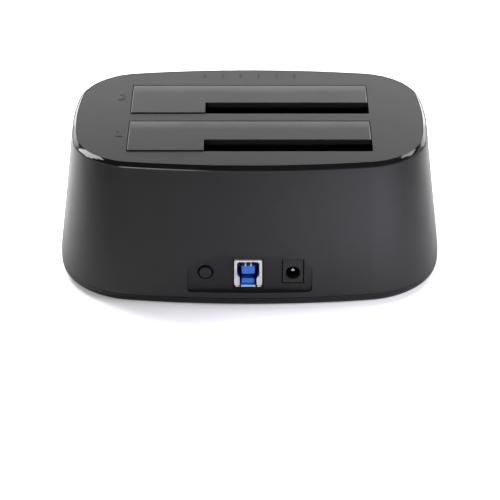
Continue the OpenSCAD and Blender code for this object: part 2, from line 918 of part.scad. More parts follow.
// the coil turns from the far wall's side to the top, where its leg lies under the flap
module flap_spring(near) {
    turns = 6.25;
    steps = 75;
    pitch = 2 * wire_r + spring_gap;
    coil_r = pin_r + spring_fit + wire_r;
    axis = [-pitch * turns / 2, near + bay_d + hinge_back, hinge_z];
    across = [1, 0, 0];
    coil = [for (i = [0:steps]) let (a = 360 * turns * i / steps)
        [axis + [pitch * turns * i / steps, coil_r * cos(a), coil_r * sin(a)],
         [0, cos(a), sin(a)], across]];
    foot_leg = [coil[0][0] - [0, 0, spring_leg], coil[0][1], across];
    flap_leg = [coil[steps][0] - [0, spring_leg, 0], coil[steps][1], across];
    turn = steps / turns;
    least = min([for (i = [0:steps]) for (j = [i + turn / 2:steps]) norm(coil[i][0] - coil[j][0])]);
    echo(flap_spring_least_gap = least - 2 * wire_r);
    color(steel)
        wire(concat([foot_leg], coil, [flap_leg]), wire_r, 8);
}

module main_board() {
    color(green)
    difference() {
        union() {
            slab([-board_x, board_rear, board_z], [board_x, board_front, board_hi]);
            slab([-tongue_x, tongue_rear, board_z], [tongue_x, board_rear + 1, board_hi]);
            slab([-lead_tab, board_front - 1, board_z], [lead_tab, lead_tab_front, board_hi]);
        }
        board_spots()
            rod_z(0, 0, board_z - 1, board_hi + 1, board_hole_r);
    }
}

module board_spots() {
    for (near = [near_rear, near_front]) {
        translate([-standoff_x, near + standoff_near, 0])
            children();
        translate([standoff_x, near + bay_d - standoff_far, 0])
            children();
    }
}

module board_screws() {
    color(steel)
    board_spots() {
        rod_z(0, 0, board_z - flat_head_t, board_z - eps, head_r);
        rod_z(0, 0, board_z - 2 * eps, bay_floor - pilot_skin - screw_end, screw_r - screw_fit);
    }
}

// the way in for a drive's tongue, with the key at one end
module sata_slots(y, z0) {
    for (s = [[sata_short_x, sata_short_w], [sata_long_x, sata_long_w]])
        translate([socket_x + s[0], y, z0]) {
            slab([-s[1] / 2, -sata_slot / 2, 0], [s[1] / 2, sata_slot / 2, sata_deep + 1]);
            slab([s[1] / 2 - sata_key, 0, 0], [s[1] / 2, sata_slot / 2 + sata_key, sata_deep + 1]);
        }
}

module sata_socket(near) {
    y0 = near + sata_in;
    top = board_hi + sata_h;
    color(gloss)
    difference() {
        along_x(socket_x - sata_w / 2, socket_x + sata_w / 2)
            crowned([y0, board_hi + eps], [y0 + sata_d, top], sata_round, sata_round);
        sata_slots(y0 + sata_d / 2 - sata_off, top - sata_deep);
    }
}

module sata_contacts(near) {
    y = near + sata_in + sata_d / 2 - sata_off - sata_slot / 2;
    z0 = board_hi + sata_h - sata_deep + eps;
    color(gold)
    for (s = [[sata_short_x, 7], [sata_long_x, 15]])
        for (i = [0:s[1] - 1])
            translate([socket_x + s[0] + (i - (s[1] - 1) / 2) * sata_pitch, y + eps, z0])
                slab([-sata_pad_w / 2, 0, 0], [sata_pad_w / 2, sata_pad_t, sata_deep - 1]);
}

// the socket's mouth: a wide upper part, slanted shoulders and a narrow lower part
module usb_mouth() {
    hi = usb_h - mouth_top;
    translate([usb_x, usb_lo])
        polygon([[-mouth_thin, mouth_lo], [mouth_thin, mouth_lo], [mouth_thin, shoulder_lo],
                 [mouth_wide, shoulder_hi], [mouth_wide, hi - mouth_corner], [mouth_wide - mouth_corner, hi],
                 [mouth_corner - mouth_wide, hi], [-mouth_wide, hi - mouth_corner],
                 [-mouth_wide, shoulder_hi], [-mouth_thin, shoulder_lo]]);
}

module usb_shell() {
    half = usb_w / 2;
    color(steel)
    difference() {
        union() {
            along_y(usb_front, usb_back)
                crowned([usb_x - half, usb_lo], [usb_x + half, usb_top], usb_round, usb_round);
            for (x = [usb_x - half, usb_x + half - tail_w])
                slab([x, usb_back - tail_back, usb_top - usb_round],
                     [x + tail_w, usb_back - tail_back + tail_w, board_z - eps]);
        }
        along_y(usb_front - 1, usb_front + usb_face + eps)
            usb_mouth();
        slab([usb_x - half + usb_skin, usb_front + usb_face, usb_lo + usb_skin],
             [usb_x + half - usb_skin, usb_back + 1, usb_top - usb_skin - usb_round / 2]);
        for (x = [-half, -notch_x, notch_x, half])
            slab([usb_x + x - notch_w / 2, usb_front - 1, usb_lo - 1],
                 [usb_x + x + notch_w / 2, usb_front + 2, usb_lo + notch_h + eps]);
        for (x = [-half, notch_x])
            translate([usb_x + x, usb_front, usb_lo + notch_h])
                slab([-notch_w / 2, -1, 0], [half - notch_x + notch_w / 2, usb_face + eps, slit_h]);
    }
}

module usb_insulator() {
    half = usb_w / 2 - usb_skin - usb_fit;
    y0 = usb_front + usb_face + usb_fit;
    color(blue) {
        difference() {
            slab([usb_x - half, y0, usb_lo + usb_skin + usb_fit],
                 [usb_x + half, usb_back - usb_skin, usb_top - usb_skin - usb_round / 2 - usb_fit]);
            along_y(y0 - 1, y0 + usb_deep)
                usb_mouth();
        }
        for (z = [[upper_lo, upper_hi], [lower_lo, lower_hi]])
            slab([usb_x - tongue_half, y0 + tongue_in, usb_lo + z[0]],
                 [usb_x + tongue_half, y0 + usb_deep + eps, usb_lo + z[1]]);
    }
}

module usb_contacts() {
    y0 = usb_front + usb_face + usb_fit;
    color(gold) {
        for (x = [-pad_x, pad_x])
            for (at = [[pad_in, upper_hi + eps], [lane_in, upper_lo - eps - pad_t]])
                slab([usb_x + x - pad_w / 2, y0 + at[0], usb_lo + at[1]],
                     [usb_x + x + pad_w / 2, y0 + usb_deep - usb_fit, usb_lo + at[1] + pad_t]);
        for (i = [-2:2])
            translate([usb_x + i * lane_pitch, y0 + lane_in, usb_lo + lower_hi + eps])
                slab([-lane_w / 2, 0, 0], [lane_w / 2, usb_deep - lane_in - usb_fit, pad_t]);
    }
}

module dc_jack_body() {
    half = dc_w / 2;
    color(gloss)
    difference() {
        union() {
            slab([dc_x - half, panel_out, dc_lo], [dc_x + half, panel_out + dc_flange, dc_top]);
            slab([dc_x - half, panel_out + dc_flange - dc_neck, dc_z], [dc_x + half, dc_back, dc_top]);
            rod_y(dc_x, dc_z, panel_out + dc_flange - dc_neck, dc_back, half - dc_neck);
        }
        rod_y(dc_x, dc_z, panel_out - 1, panel_out + dc_deep, dc_r);
        rod_y(dc_x, dc_z, panel_out + dc_deep - 1, dc_back + 1, dc_pin_r + press);
        slab([dc_x - dc_slot_w / 2, panel_out + dc_slot_in, dc_z - dc_r - dc_slot_d],
             [dc_x + dc_slot_w / 2, panel_out + dc_deep, dc_z]);
    }
}

module dc_jack_pin() {
    front = panel_out + dc_pin_in;
    len = dc_back - front + dc_pin_tail;
    color(steel)
    translate([dc_x, front, dc_z])
        rotate([-90, 0, 0])
            rotate_extrude()
                polygon([[0, 0], [dc_pin_r - dc_pin_tip, 0], [dc_pin_r, dc_pin_tip], [dc_pin_r, len],
                         [0, len]]);
}

// a bowed leaf in the slot under the mouth
module dc_jack_spring() {
    y0 = panel_out + dc_slot_in + dc_neck;
    y1 = panel_out + dc_deep - dc_neck;
    z = dc_z - dc_r - dc_slot_d + fit;
    color(gold)
    along_x(dc_x - leaf_w / 2, dc_x + leaf_w / 2)
        polygon([[y0, z], [y0 + leaf_crest, z + leaf_rise], [y1, z], [y1, z + leaf_t],
                 [y0 + leaf_crest, z + leaf_rise + leaf_t], [y0, z + leaf_t]]);
}

module button_cap() {
    front = panel_out - button_out;
    back = cap_back - front;
    bore = plunger_r + pin_fit;
    color(black)
    translate([button_x, front, button_z])
        rotate([-90, 0, 0])
            rotate_extrude()
                polygon([[0, 0], [button_r - cap_edge, 0], [button_r, cap_edge], [button_r, back],
                         [bore, back], [bore, cap_skin], [0, cap_skin]]);
}

module switch_plunger() {
    front = panel_out - button_out + cap_skin + eps;
    collar = cavity_y + pin_fit;
    color(clear) {
        rod_y(button_x, button_z, front, collar + plunger_tail, plunger_r);
        rod_y(button_x, button_z, collar, collar + collar_t, collar_r);
    }
}

module switch_body() {
    color(gloss)
    difference() {
        slab([button_x - switch_half, switch_front, button_z - switch_half],
             [button_x + switch_half, switch_back, board_z - eps]);
        rod_y(button_x, button_z, switch_front - 1, cavity_y + 1, plunger_r + pin_fit);
        rod_y(button_x, button_z, cavity_y, switch_back - switch_wall, cavity_r);
    }
}

module switch_spring() {
    turns = 4;
    steps = 48;
    y0 = cavity_y + pin_fit + collar_t + coil_wire + eps;
    y1 = switch_back - switch_wall - coil_wire - eps;
    path = [for (i = [0:steps]) let (a = 360 * turns * i / steps)
        [[button_x + coil_mid * cos(a), y0 + (y1 - y0) * i / steps, button_z + coil_mid * sin(a)],
         [cos(a), 0, sin(a)], [0, 1, 0]]];
    color(steel)
        wire(path, coil_wire, 6);
}

module led_board() {
    color(green)
    difference() {
        slab([-led_board_x, light_y - led_board_rear, led_board_lo],
             [led_board_x, light_y + led_board_front, led_board_hi]);
        for (s = [-1, 1])
            rod_z(s * led_screw_x, light_y, led_board_lo - 1, led_board_hi + 1, board_hole_r);
    }
}

module leds() {
    color(clear)
    lamps()
        slab([-led_w / 2, -led_len / 2, led_board_hi + eps],
             [led_w / 2, led_len / 2, led_board_hi + led_t]);
}

module light_guide() {
    base = led_board_hi + guide_gap;
    ends = (lamp_n - 1) / 2 * lamp_pitch + guide_end;
    w = lamp_w / 2 - guide_fit;
    l = lamp_len / 2 - guide_fit;
    color(clear) {
        slab([-ends, light_y - guide_d / 2, base], [ends, light_y + guide_d / 2, base + guide_t]);
        lamps()
            slab([-w, -l, base], [w, l, panel_hi]);
    }
}

module led_screws() {
    color(steel)
    for (s = [-1, 1]) {
        rod_z(s * led_screw_x, light_y, led_board_lo - flat_head_t, led_board_lo - eps, led_head_r);
        rod_z(s * led_screw_x, light_y, led_board_lo - 2 * eps, panel_lo - pilot_skin, screw_r);
    }
}

module ribbon_lead() {
    color(black)
    for (i = [0:lead_cores - 1])
        rod_z((i - (lead_cores - 1) / 2) * lead_pitch, lead_y, board_hi + header_t - lead_in,
              led_board_lo - header_t + lead_in, lead_core);
}

module lead_headers() {
    w = header_w / 2;
    d = header_d / 2;
    slot_w = lead_cores * lead_pitch / 2 + 3 * lead_fit;
    slot_d = lead_core + lead_fit;
    color(clear)
    difference() {
        union() {
            slab([-w, lead_y - d, board_hi + eps], [w, lead_y + d, board_hi + header_t]);
            slab([-w, lead_y - d, led_board_lo - header_t], [w, lead_y + d, led_board_lo - eps]);
        }
        slab([-slot_w, lead_y - slot_d, board_hi + header_t - lead_in - lead_fit / 2],
             [slot_w, lead_y + slot_d, led_board_lo - header_t + lead_in + lead_fit / 2]);
    }
}

module bridge_chip() {
    color(gloss)
        slab([-chip_x - chip_w / 2, chip_y - chip_w / 2, board_z - chip_t],
             [-chip_x + chip_w / 2, chip_y + chip_w / 2, board_z - eps]);
}

module capacitors() {
    color(steel)
    for (s = [-0.5, 0.5])
        rod_z(can_x + s * can_pitch, can_y, board_z - can_h, board_z - eps, can_r);
}

module coils() {
    color(gloss)
    for (s = [-0.5, 0.5])
        translate([-coil_x + s * coil_pitch, coil_y, 0])
            rounded([-coil_w / 2, -coil_w / 2, board_z - coil_t],
                    [coil_w / 2, coil_w / 2, board_z - eps], coil_round);
}

housing();
top_panel();
bottom_cover();
foot(-1, -1);  // foot_rear_left
foot(1, -1);  // foot_rear_right
foot(-1, 1);  // foot_front_left
foot(1, 1);  // foot_front_right
cover_screws();
bay_frame(near_rear);  // bay_frame_rear
bay_frame(near_front);  // bay_frame_front
frame_screws();
flap(near_rear);  // flap_rear
flap(near_front);  // flap_front
flap_pin(near_rear);  // flap_pin_rear
flap_pin(near_front);  // flap_pin_front
flap_spring(near_rear);  // flap_spring_rear
flap_spring(near_front);  // flap_spring_front
main_board();
board_screws();
sata_socket(near_rear);  // sata_socket_rear
sata_socket(near_front);  // sata_socket_front
sata_contacts(near_rear);  // sata_contacts_rear
sata_contacts(near_front);  // sata_contacts_front
usb_shell();
usb_insulator();
usb_contacts();
dc_jack_body();
dc_jack_pin();
dc_jack_spring();
button_cap();
switch_plunger();
switch_body();
switch_spring();
led_board();
leds();
light_guide();
led_screws();
ribbon_lead();
lead_headers();
bridge_chip();
capacitors();
coils();
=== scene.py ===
import json
import math

import bpy
import numpy as np
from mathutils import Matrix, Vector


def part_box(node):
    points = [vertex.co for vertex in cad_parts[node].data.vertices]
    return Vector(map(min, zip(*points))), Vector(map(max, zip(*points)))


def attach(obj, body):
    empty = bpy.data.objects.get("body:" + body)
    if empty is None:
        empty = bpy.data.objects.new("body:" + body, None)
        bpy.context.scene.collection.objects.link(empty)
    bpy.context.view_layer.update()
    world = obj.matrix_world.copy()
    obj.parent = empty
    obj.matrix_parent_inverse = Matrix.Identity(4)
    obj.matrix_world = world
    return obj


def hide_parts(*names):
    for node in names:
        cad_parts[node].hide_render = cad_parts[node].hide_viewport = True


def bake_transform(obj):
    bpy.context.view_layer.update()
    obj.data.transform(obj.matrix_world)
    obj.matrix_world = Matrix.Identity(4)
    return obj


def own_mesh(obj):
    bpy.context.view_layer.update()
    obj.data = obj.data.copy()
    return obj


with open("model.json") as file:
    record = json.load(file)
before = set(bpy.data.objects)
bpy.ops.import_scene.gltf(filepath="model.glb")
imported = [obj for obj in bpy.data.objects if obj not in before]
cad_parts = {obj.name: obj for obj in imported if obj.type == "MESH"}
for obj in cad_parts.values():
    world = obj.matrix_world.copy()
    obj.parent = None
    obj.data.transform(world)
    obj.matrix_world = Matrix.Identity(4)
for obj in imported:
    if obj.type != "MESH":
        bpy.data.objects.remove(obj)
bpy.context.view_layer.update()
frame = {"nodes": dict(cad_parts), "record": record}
nodes = frame["nodes"]
slotOf = {part["node"]: part["material_slot"] for part in frame["record"]["subparts"]}
joints = {joint["name"]: joint for joint in frame["record"]["behaviour"]["joints"]}
scene = bpy.context.scene
mm = 0.001
fullTurn = 2 * math.pi
print("frame loaded:", len(nodes), "nodes")


# "#rrggbb" in sRGB to linear red, green, blue and alpha
def hexToLinear(code):
    srgb = np.array([int(code[i:i + 2], 16) for i in (1, 3, 5)]) / 255
    linear = np.where(srgb <= 0.04045, srgb / 12.92, ((srgb + 0.055) / 1.055) ** 2.4)
    return (*linear.tolist(), 1.0)


# adds one node: settings go to its sockets or, where no socket has that name, to the node itself
def addNode(tree, kind, settings=None, links=None):
    node = tree.nodes.new(kind)
    for key, value in (settings or {}).items():
        if isinstance(key, int) or key in node.inputs:
            node.inputs[key].default_value = value
        else:
            setattr(node, key, value)
    for key, source in (links or {}).items():
        tree.links.new(source, node.inputs[key])
    return node


def newFinish(name, settings):
    finish = bpy.data.materials.new(name)
    finish.use_nodes = True
    tree = finish.node_tree
    shader = tree.nodes["Principled BSDF"]
    for key, value in settings.items():
        shader.inputs[key].default_value = value
    return finish, tree, shader


# camera: solved from the photo's bay corners, looking along +Y
view = {"at": (0.00016, -0.8375, 0.47355), "downDeg": 29.62, "lensMm": 156.0, "sensorMm": 36.0, "nearM": 0.01}
cameraData = bpy.data.cameras.new("photoCamera")
cameraData.lens = view["lensMm"]
cameraData.sensor_width = view["sensorMm"]
cameraData.clip_start = view["nearM"]
camera = bpy.data.objects.new("photoCamera", cameraData)
camera.location = view["at"]
camera.rotation_euler = (math.radians(90 - view["downDeg"]), 0, 0)
scene.collection.objects.link(camera)
scene.camera = camera
print("camera placed")

# every pattern is a noise: where most of its values lie, its octaves, and its relief as a share of its width
pattern = {"span": (0.3, 0.7), "grainDetail": 2.0, "cloudDetail": 3.0, "lineDetail": 3.0, "relief": 0.25}


# one noise mixes the two tones and spreads the gloss, and another of the given width lifts the surface
def varySurface(tree, shader, look, tone, lift, widthMm):
    colour = addNode(tree, "ShaderNodeMix",
                     {"data_type": "RGBA", 6: hexToLinear(look["deep"]), 7: hexToLinear(look["pale"])},
                     {0: tone.outputs[0]})
    gloss = addNode(tree, "ShaderNodeMapRange",
                    {"From Min": pattern["span"][0], "From Max": pattern["span"][1],
                     "To Min": look["rough"][0], "To Max": look["rough"][1]}, {"Value": tone.outputs[0]})
    bump = addNode(tree, "ShaderNodeBump",
                   {"Strength": look["bump"], "Distance": pattern["relief"] * widthMm * mm},
                   {"Height": lift.outputs[0]})
    tree.links.new(colour.outputs[2], shader.inputs["Base Color"])
    tree.links.new(gloss.outputs[0], shader.inputs["Roughness"])
    tree.links.new(bump.outputs[0], shader.inputs["Normal"])


# moulded plastic: a fine grain from the tool lifts the surface, and slow clouds vary colour and gloss. Real
# grain is under 0.1 mm wide, too fine to show, so each grainMm is drawn several times coarser
def mouldedFinish(name, look):
    finish, tree, shader = newFinish(name, {"IOR": look["ior"]})
    where = addNode(tree, "ShaderNodeTexCoord")
    grain = addNode(tree, "ShaderNodeTexNoise",
                    {"Scale": 1 / (look["grainMm"] * mm), "Detail": pattern["grainDetail"]},
                    {"Vector": where.outputs["Object"]})
    cloud = addNode(tree, "ShaderNodeTexNoise",
                    {"Scale": 1 / (look["cloudMm"] * mm), "Detail": pattern["cloudDetail"]},
                    {"Vector": where.outputs["Object"]})
    varySurface(tree, shader, look, cloud, grain, look["grainMm"])
    return finish


# metal: fine lines from rolling or drawing run along one axis and break up the gloss. Real lines are a few
# hundredths of a millimetre apart, too fine to show, so lineMm is drawn coarser
def drawnFinish(name, look):
    finish, tree, shader = newFinish(name, {"Metallic": look["metal"]})
    where = addNode(tree, "ShaderNodeTexCoord")
    perMetre = [1 / (look["lineMm"] * mm)] * 3
    perMetre[look["axis"]] /= look["stretch"]
    drawn = addNode(tree, "ShaderNodeMapping", {"Scale": perMetre}, {"Vector": where.outputs["Object"]})
    lines = addNode(tree, "ShaderNodeTexNoise", {"Scale": 1.0, "Detail": pattern["lineDetail"]},
                    {"Vector": drawn.outputs[0]})
    varySurface(tree, shader, look, lines, lines, look["lineMm"])
    return finish


# past a level on one of the piece's own axes, a socket of its shader turns to another value, or where
# otherFirst is set it has the other value up to that level
def changeAt(finish, socketName, axis, level, fade, other, otherFirst=False):
    tree = finish.node_tree
    socket = tree.nodes["Principled BSDF"].inputs[socketName]
    where = addNode(tree, "ShaderNodeTexCoord")
    place = addNode(tree, "ShaderNodeSeparateXYZ", None, {0: where.outputs["Object"]})
    past = addNode(tree, "ShaderNodeMapRange", {"From Min": level - fade, "From Max": level},
                   {"Value": place.outputs[axis]})
    kind, first, second, result = ("RGBA", 6, 7, 2) if socket.type == "RGBA" else ("FLOAT", 2, 3, 0)
    own, new = (second, first) if otherFirst else (first, second)
    mixed = addNode(tree, "ShaderNodeMix", {"data_type": kind, new: other},
                    {0: past.outputs[0], own: socket.links[0].from_socket})
    tree.links.new(mixed.outputs[result], socket)


# satin ABS with a spark-eroded wall and a bevel polished in the tool: soft sheen below, sharp gloss above
shellLook = {"deep": "#0a0a0b", "pale": "#0e0e0f", "rough": (0.33, 0.37), "ior": 1.5, "grainMm": 0.35,
             "cloudMm": 9.0, "bump": 0.05, "polish": 0.07, "bevelMm": 1.75, "fadeMm": 0.1}
# fine-grained matte ABS of the top, whose grain spreads the light to an even grey
matteLook = {"deep": "#0c0c0d", "pale": "#111112", "rough": (0.38, 0.43), "ior": 1.5, "grainMm": 0.3,
             "cloudMm": 12.0, "bump": 0.12}
# the flaps have the same grain on top; under it their edges are dull and painted near black, a painted shade
# for the dark gaps round them
flapPaintedEdgeShadeLook = dict(matteLook, ior=1.54, rough=(0.37, 0.42), topMm=0.45, fadeMm=0.1, edge="#020202",
                edgeRough=0.9)
# glass-filled nylon of the sockets: dull with a speckle of fibre
nylonLook = {"deep": "#0b0b0b", "pale": "#161616", "rough": (0.5, 0.62), "ior": 1.53, "grainMm": 0.4,
             "cloudMm": 2.0, "bump": 0.1}
# blue nylon of the data port, bright on the tongues' front faces; behind them a darker blue is painted inside
# the mouth as painted shade
bluePaintedShadeLook = dict(nylonLook, deep="#164a94", pale="#2058a4", rough=(0.4, 0.5), second="#0c2f78", frontMm=1.2,
                fadeMm=0.2)
# black nylon of the power inlet, with painted shade near black inside its mouth so that its floor doesn't
# show
inletPaintedShadeLook = dict(nylonLook, rough=(0.6, 0.7), second="#020202", frontMm=0.8, fadeMm=0.3)
plastics = {
    "shell_satin": ("satinAbsPolishedBevel", shellLook),
    "panel_matte": ("grainedAbsTop", matteLook),
    "flap_matte": ("grainedAbsFlap", flapPaintedEdgeShadeLook),
    # the wall's satin, a little duller under the rim
    "cover_satin": ("satinAbsCover", dict(shellLook, rough=(0.36, 0.42))),
    # plain ABS inside, close to black in the bays
    "frame_black": ("plainAbsFrame", dict(matteLook, deep="#060606", pale="#090909", rough=(0.45, 0.55))),
    # the button's fine texture, as grey as the panel round it
    "button_black": ("fineAbsButton", dict(matteLook, rough=(0.38, 0.44))),
    "socket_black": ("glassNylonBlack", nylonLook),
    "usb_blue": ("nylonBlue", bluePaintedShadeLook),
    # unfilled nylon, milky with a soft sheen
    "switch_white": ("nylonWhite", dict(nylonLook, deep="#dcdcd6", pale="#e6e6e0")),
    # cast resin over the lamps, warm white and smooth
    "lamp_white": ("castLampResin", dict(nylonLook, deep="#e4e2d2", pale="#efeee2", rough=(0.2, 0.28))),
    # moulded package of the parts on the board, a dull charcoal
    "chip_black": ("mouldedPackage", dict(nylonLook, deep="#101011", pale="#1a1a1b", rough=(0.55, 0.65))),
    # PVC insulation, smooth with a waxy sheen
    "lead_black": ("pvcInsulation", dict(nylonLook, deep="#0d0d0d", pale="#121212", rough=(0.4, 0.48))),
    # moulded rubber, nearly matte with a coarse grain
    "foot_rubber": ("blackRubber", {"deep": "#101010", "pale": "#181818", "rough": (0.7, 0.82), "ior": 1.52,
                                    "grainMm": 0.5, "cloudMm": 3.0, "bump": 0.2}),
    # smoke acrylic of the light guide, frosted on top so that the slots show as soft dark ticks
    "guide_smoke": ("smokeAcrylic", {"deep": "#08080a", "pale": "#0c0c0e", "rough": (0.5, 0.56), "ior": 1.49,
                                     "grainMm": 0.4, "cloudMm": 2.0, "bump": 0.03}),
    # solder mask on glass laminate, glossy green with a slow mottle
    "board_green": ("solderMask", {"deep": "#0a3d22", "pale": "#125233", "rough": (0.28, 0.38), "ior": 1.52,
                                   "grainMm": 0.5, "cloudMm": 3.0, "bump": 0.08}),
}
finishes = {slot: mouldedFinish(name, look) for slot, (name, look) in plastics.items()}
changeAt(finishes["shell_satin"], "Roughness", 2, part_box("housing")[1][2] - shellLook["bevelMm"] * mm,
         shellLook["fadeMm"] * mm, shellLook["polish"])
# painted shade: under the flap's top its edges turn near black, and duller
for socketName, edge in (("Base Color", hexToLinear(flapPaintedEdgeShadeLook["edge"])), ("Roughness", flapPaintedEdgeShadeLook["edgeRough"])):
    changeAt(finishes["flap_matte"], socketName, 2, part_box("flap_rear")[1][2] - flapPaintedEdgeShadeLook["topMm"] * mm,
             flapPaintedEdgeShadeLook["fadeMm"] * mm, edge, otherFirst=True)
print("plastics mixed")

# plated steel as it was rolled, bright with faint lines: the other metals start from it
steelLook = {"deep": "#b9babb", "pale": "#d6d7d8", "metal": 1.0, "rough": (0.24, 0.34), "lineMm": 0.2,
             "axis": 1, "stretch": 12, "bump": 0.06}
# tin-plated contacts of the data port: painted dark as painted shade deep in the mouth, and painted bright on
# the upper pads as a painted glint
padPaintedShadeAndGlintLook = dict(steelLook, deep="#202020", pale="#2c2c2c", metal=0.5, rough=(0.3, 0.38), second="#f0f0ee",
               padMm=1.0, fadeMm=0.1)
# nickel-plated leaf in the power inlet, painted a darker grey as painted shade inside the inlet
leafPaintedShadeLook = dict(steelLook, deep="#8a8a88", pale="#a4a4a2")
metals = {
    # tin-plated sheet of the data port: its dull skin scatters half of the light, so it looks pale all over
    "usb_steel": ("tinPlatedSheet", dict(steelLook, deep="#b6b6b2", pale="#c8c8c4", metal=0.5,
                                         rough=(0.4, 0.5))),
    # zinc plate on the screws, bluish grey with hardly a line
    "screw_steel": ("zincPlatedSteel", dict(steelLook, deep="#9fa2a8", pale="#c3c6ca", rough=(0.3, 0.42),
                                            axis=2, stretch=2)),
    # bright plated pins, close to a mirror
    "pin_steel": ("brightPlatedSteel", dict(steelLook, deep="#c4c5c6", pale="#dedfe0", rough=(0.12, 0.2),
                                            axis=0)),
    # spring wire, greyer and evenly mottled
    "spring_steel": ("springWire", dict(steelLook, deep="#8d9094", pale="#adb0b3", rough=(0.3, 0.4), axis=0,
                                        stretch=1)),
    # gold flash on the drive contacts, a smooth warm yellow
    "contact_gold": ("goldFlashedContact", dict(steelLook, deep="#c99a3a", pale="#e0b95e", rough=(0.2, 0.3))),
    # drawn aluminium cans, pale with lines up their sides
    "can_aluminium": ("drawnAluminiumCan", dict(steelLook, deep="#c2c4c6", pale="#dadcdd", rough=(0.25, 0.35),
                                                axis=2)),
}
finishes.update({slot: drawnFinish(name, look) for slot, (name, look) in metals.items()})
# single nodes that differ from the rest of their slot
ownFinish = {"dc_jack_body": mouldedFinish("glassNylonInlet", inletPaintedShadeLook),
             "usb_contacts": drawnFinish("tinPlatedContact", padPaintedShadeAndGlintLook),
             "dc_jack_spring": drawnFinish("nickelPlatedLeaf", leafPaintedShadeLook)}
print("metals mixed")

# painted light: painted shade inside the two mouths, behind their front faces, and a painted glint on the
# upper pads
paintedLightTones = (
    (finishes["usb_blue"], 1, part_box("usb_insulator")[0][1] + bluePaintedShadeLook["frontMm"] * mm, bluePaintedShadeLook),
    (ownFinish["dc_jack_body"], 1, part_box("dc_jack_body")[0][1] + inletPaintedShadeLook["frontMm"] * mm, inletPaintedShadeLook),
    (ownFinish["usb_contacts"], 2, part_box("usb_contacts")[1][2] - padPaintedShadeAndGlintLook["padMm"] * mm, padPaintedShadeAndGlintLook),
)
for finish, axis, level, look in paintedLightTones:
    changeAt(finish, "Base Color", axis, level, look["fadeMm"] * mm, hexToLinear(look["second"]))
for name, node in nodes.items():
    node.data.materials.clear()
    node.data.materials.append(ownFinish.get(name, finishes[slotOf[name]]))
print("finishes on", len(nodes), "nodes")


# rings of points, one per step of a path and each turning right-handed about it, become a closed mesh whose
# faces point outwards, with the two end rings as caps
def skinRings(name, rings, slot, creaseDeg=40):
    count, sides = rings.shape[:2]
    i, k = np.meshgrid(np.arange(count - 1), np.arange(sides), indexing="ij")
    a, b = sides * i + k, sides * i + (k + 1) % sides
    quads = np.stack([a, b, b + sides, a + sides], axis=-1).reshape(-1, 4)
    cap = np.arange(sides)
    faces = quads.tolist() + [cap[::-1].tolist(), (cap + sides * (count - 1)).tolist()]
    mesh = bpy.data.meshes.new(name)
    mesh.from_pydata(rings.reshape(-1, 3).tolist(), [], faces)
    mesh.shade_smooth()
    mesh.set_sharp_from_angle(angle=math.radians(creaseDeg))
    mesh.materials.append(finishes[slot])
    piece = bpy.data.objects.new(name, mesh)
    scene.collection.objects.link(piece)
    return piece


# flat stroke lifted off the top along a path of points P(i) with its normals N(i):
# V(i, k) = P(i) + side(k) * half * N(i) / cos(half the bend), at the low and high level
def strokeRings(path, half, low, high):
    step = np.diff(path, axis=0)
    step /= np.linalg.norm(step, axis=1)[:, None]
    before, after = np.vstack([step[:1], step]), np.vstack([step, step[-1:]])
    along = before + after
    along /= np.linalg.norm(along, axis=1)[:, None]
    aside = half * np.stack([-along[:, 1], along[:, 0]], axis=1) / (along * after).sum(axis=1)[:, None]
    corners = ((path - aside, low), (path + aside, low), (path + aside, high), (path - aside, high))
    return np.stack([np.column_stack([edge, np.full(len(path), level)]) for edge, level in corners], axis=1)


# bay numerals, raised off the grain: strokes on a grid whose unit is half of a numeral's height
numeralLook = {"tallMm": 5.0, "halfStrokeMm": 0.32, "proudMm": 0.11, "sinkMm": 0.02, "besideMm": 4.2,
               "bowDeg": (165, -35), "bowSteps": 24}
bow = np.radians(np.linspace(*numeralLook["bowDeg"], numeralLook["bowSteps"]))
strokes = {
    "1": np.array([(-0.35, 0.62), (0.1, 1.0), (0.1, -0.83)]),  # flag and stem
    "1Foot": np.array([(-0.45, -0.95), (0.65, -0.95)]),
    "2": np.vstack([np.column_stack([0.5 * np.cos(bow), 0.5 + 0.5 * np.sin(bow)]),
                    [(-0.5, -0.95), (0.55, -0.95)]]),  # bow, then its foot
}
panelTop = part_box("top_panel")[1][2]
for label, flap in (("1", "flap_rear"), ("1Foot", "flap_rear"), ("2", "flap_front")):
    (left, near, _), (_, far, _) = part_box(flap)
    middle = np.array([left - numeralLook["besideMm"] * mm, (near + far) / 2])
    rings = strokeRings(middle + strokes[label] * numeralLook["tallMm"] * mm / 2,
                        numeralLook["halfStrokeMm"] * mm,
                        panelTop - numeralLook["sinkMm"] * mm, panelTop + numeralLook["proudMm"] * mm)
    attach(skinRings("bayNumeral" + label, rings, "panel_matte"), "dock")
print("numerals raised")


# round wire along a path P(i) with a tangent T(i) and a normal U(i):
# V(i, k) = P + radius * (cos(k) U + sin(k) T x U)
def wireRings(path, normal, radius, sides):
    along = np.gradient(path, axis=0)
    along /= np.linalg.norm(along, axis=1)[:, None]
    binormal = np.cross(along, normal)
    turn = np.linspace(0, fullTurn, sides, endpoint=False)[None, :, None]
    return path[:, None] + radius * (np.cos(turn) * normal[:, None] + np.sin(turn) * binormal[:, None])


# flap spring: C(t) = hinge + radius * (0, cos t, sin t) + pitch * (t in turns - half the turns) along X, with
# a leg down the wall and an arm under the flap. The coil lies along the hinge. wireMm is the wire's radius
springLook = {"turns": 6.25, "wireMm": 0.2, "gapMm": 0.45, "offPinMm": 0.15, "legMm": 7.0, "legSteps": 8,
              "steps": 150, "sides": 12}


